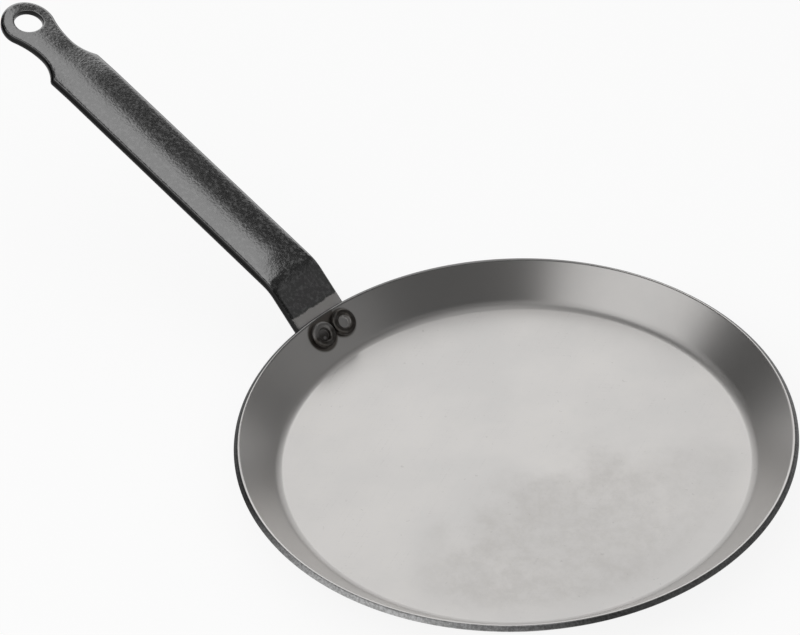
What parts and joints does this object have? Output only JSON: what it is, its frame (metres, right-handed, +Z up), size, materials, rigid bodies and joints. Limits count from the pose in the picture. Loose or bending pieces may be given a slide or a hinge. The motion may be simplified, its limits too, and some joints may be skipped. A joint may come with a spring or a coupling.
{
  "type": "crepe pan",
  "caption": "Shallow round crepe pan with a flared wall and a plain cut rim, riveted to a long rising strip handle with a hanging eyelet.",
  "frame": {"origin": "middle of the base's underside, on the surface that the pan stands on", "axes": "+Z up, handle along -X, +Y to the right as seen from the pan's middle facing the handle"},
  "size_m": [0.4419, 0.2398, 0.0974],
  "materials": {
    "pan_steel": "bare satin carbon steel, finely brushed",
    "handle_coat": "dark grey textured coat, semi-gloss",
    "rivet_steel": "dark blued steel, rolled ring heads"
  },
  "bodies": {
    "root": {"pan_body": "pan_steel", "handle": "handle_coat", "rivet_left": "rivet_steel", "rivet_right": "rivet_steel"}
  },
  "joints": []
}
